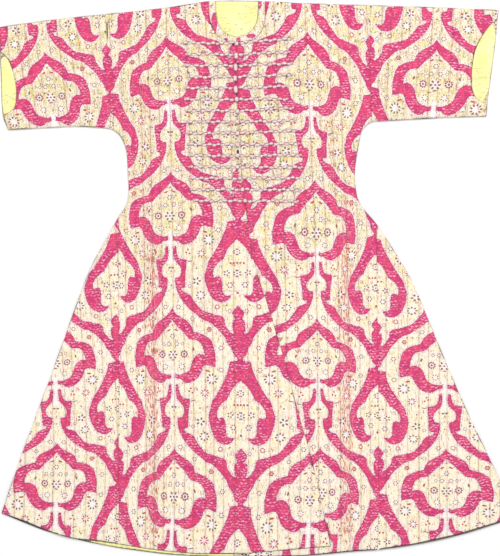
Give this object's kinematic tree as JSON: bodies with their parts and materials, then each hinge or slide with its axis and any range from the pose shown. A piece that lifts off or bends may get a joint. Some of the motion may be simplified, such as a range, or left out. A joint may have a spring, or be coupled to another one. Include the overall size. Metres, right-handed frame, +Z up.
{
  "type": "caftan",
  "caption": "Short-sleeved flared caftan of quilted brocade with a woven ogival lattice, lapped front and braided frog fastenings, laid flat with its front up",
  "frame": {"origin": "on the surface the caftan rests on, under the middle of its outline", "axes": "+X across the caftan to the right as it is looked down on with its neck at the top, +Y from the hem to the neck, +Z up from the surface; the front faces +Z"},
  "size_m": [1.2676, 1.3618, 0.0156],
  "materials": {
    "brocade": "silk and metal thread brocade, crimson lattice on pale gold",
    "lining": "plain lemon yellow silk",
    "cord": "plaited silver and grey metal-thread cord"
  },
  "bodies": {
    "root": {"back_panel": "brocade", "back_gore_l": "brocade", "back_gore_r": "brocade", "back_sleeve_l": "brocade", "back_sleeve_r": "brocade", "front_lap": "brocade", "front_under": "brocade", "front_gore_l": "brocade", "front_gore_r": "brocade", "front_sleeve_l": "brocade", "front_sleeve_r": "brocade", "neck_band_l": "brocade", "neck_band_r": "brocade", "lining_neck": "lining", "lining_cuff_l": "lining", "lining_cuff_r": "lining", "lining_hem": "lining", "frog_l_01": "cord", "frog_l_02": "cord", "frog_l_03": "cord", "frog_l_04": "cord", "frog_l_05": "cord", "frog_l_06": "cord", "frog_l_07": "cord", "frog_l_08": "cord", "frog_l_09": "cord", "frog_l_10": "cord", "frog_l_11": "cord", "frog_l_12": "cord", "frog_l_13": "cord", "frog_l_14": "cord", "frog_l_15": "cord", "frog_r_01": "cord", "frog_r_02": "cord", "frog_r_03": "cord", "frog_r_04": "cord", "frog_r_05": "cord", "frog_r_06": "cord", "frog_r_07": "cord", "frog_r_08": "cord", "frog_r_09": "cord", "frog_r_10": "cord", "frog_r_11": "cord", "frog_r_12": "cord", "frog_r_13": "cord", "frog_r_14": "cord", "frog_r_15": "cord"}
  },
  "joints": []
}
